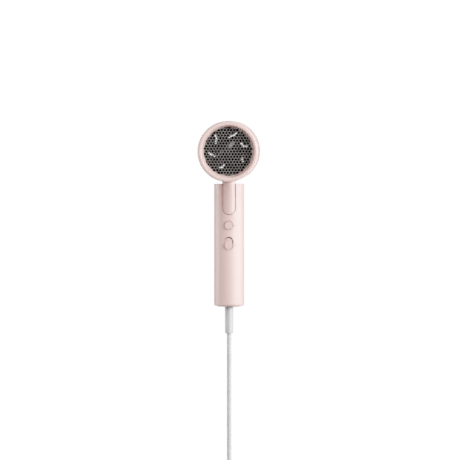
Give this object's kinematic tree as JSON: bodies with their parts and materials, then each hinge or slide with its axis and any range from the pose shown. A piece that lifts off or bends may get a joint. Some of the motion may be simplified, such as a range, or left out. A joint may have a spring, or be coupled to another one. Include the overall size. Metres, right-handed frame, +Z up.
{
  "type": "travel hair dryer",
  "caption": "Compact travel hair dryer with a round barrel, honeycomb outlet grille, folding cylindrical handle, slide switch, push button and coiled mains cord.",
  "frame": {"origin": "on the handle's axis, at the middle of the grip", "axes": "+Z up along the handle to the barrel, -Y the way the air leaves the outlet, +X to the right seen from the front"},
  "size_m": [0.0866, 0.151, 0.3943],
  "materials": {
    "pink_shell": "fine matte moulded, pale pink",
    "pink_guard": "matte moulded, pale pink",
    "pink_button": "satin moulded, pale pink",
    "recess_pink": "matte moulded, slightly darker pink",
    "grille_metal": "stamped honeycomb, satin grey-beige",
    "mesh_metal": "fine dark wire mesh",
    "mica": "pressed mica board, flecked",
    "heater_wire": "oxidised resistance wire",
    "ribbon_bright": "bright resistance ribbon",
    "ceramic_white": "glazed ceramic",
    "motor_steel": "plated steel",
    "magnet_dark": "ferrite",
    "bush_bronze": "sintered bronze",
    "armature_copper": "enamelled copper winding",
    "black_plastic": "moulded black",
    "housing_white": "moulded off-white",
    "frame_grey": "moulded dark grey",
    "circuit_board": "paper-based board",
    "board_parts_dark": "component bodies",
    "screw_steel": "zinc plated",
    "spring_steel": "spring wire",
    "lead_white": "silicone insulated wire",
    "mark_grey": "small printed dots",
    "cord_pvc": "satin light grey-white PVC",
    "tie_black": "soft tie",
    "plug_brass": "nickel plated brass"
  },
  "bodies": {
    "handle": {"handle_shell": "pink_shell", "end_cap": "pink_shell", "cap_screws": "screw_steel", "chassis": "frame_grey", "hinge_pin": "motor_steel", "friction_washers": "housing_white", "button_spring": "spring_steel", "temp_switch": "black_plastic", "recess_tray": "recess_pink", "slide_switch": "black_plastic", "control_board": "circuit_board", "board_parts": "board_parts_dark", "board_screws": "screw_steel", "cord_clamp": "frame_grey", "clamp_screws": "screw_steel", "supply_lead": "cord_pvc", "supply_cores": "lead_white", "heater_leads": "lead_white", "control_marks": "mark_grey", "strain_relief": "cord_pvc", "cord_drop": "cord_pvc", "cord_coil": "cord_pvc", "cord_tail": "cord_pvc", "cord_tie": "tie_black", "plug_body": "cord_pvc", "plug_pins": "plug_brass"},
    "head": {"barrel_shell": "pink_shell", "front_ring": "pink_shell", "outlet_grille": "grille_metal", "heater_sleeve": "mica", "heater_collar": "black_plastic", "mica_star": "mica", "heater_coils": "heater_wire", "heater_ribbons": "ribbon_bright", "thermostat": "ceramic_white", "thermal_fuse": "ceramic_white", "motor_can": "motor_steel", "motor_endbell": "black_plastic", "motor_magnets": "magnet_dark", "motor_bushes": "bush_bronze", "motor_board": "circuit_board", "board_diodes": "black_plastic", "fan_housing": "housing_white", "rear_cover": "pink_shell", "intake_guard": "pink_guard", "intake_mesh": "mesh_metal", "neck_arm": "pink_shell", "neck_screws": "screw_steel", "neck_leads": "lead_white"},
    "rotor": {"motor_shaft": "motor_steel", "armature": "armature_copper", "fan": "black_plastic"},
    "button": {"temp_button": "pink_button"},
    "knob": {"slide_knob": "pink_button", "knob_carrier": "recess_pink", "switch_slider": "black_plastic"}
  },
  "joints": [
    {"name": "fold", "type": "hinge", "parent": "handle", "child": "head", "pos_m": [0, -0.008, 0.0475], "axis": [1, 0, 0], "range_deg": [0, 90]},
    {"name": "fan_spin", "type": "hinge", "parent": "head", "child": "rotor", "pos_m": [0, 0.02, 0.1], "axis": [0, -1, 0], "continuous": true},
    {"name": "button_press", "type": "slide", "parent": "handle", "child": "button", "axis": [0, 1, 0], "range_m": [0, 0.001], "stiffness_N_per_m": 1500, "springref_m": -0.0005, "deforming": ["button_spring"]},
    {"name": "knob_slide", "type": "slide", "parent": "handle", "child": "knob", "axis": [0, 0, 1], "range_m": [0, 0.0044]}
  ]
}
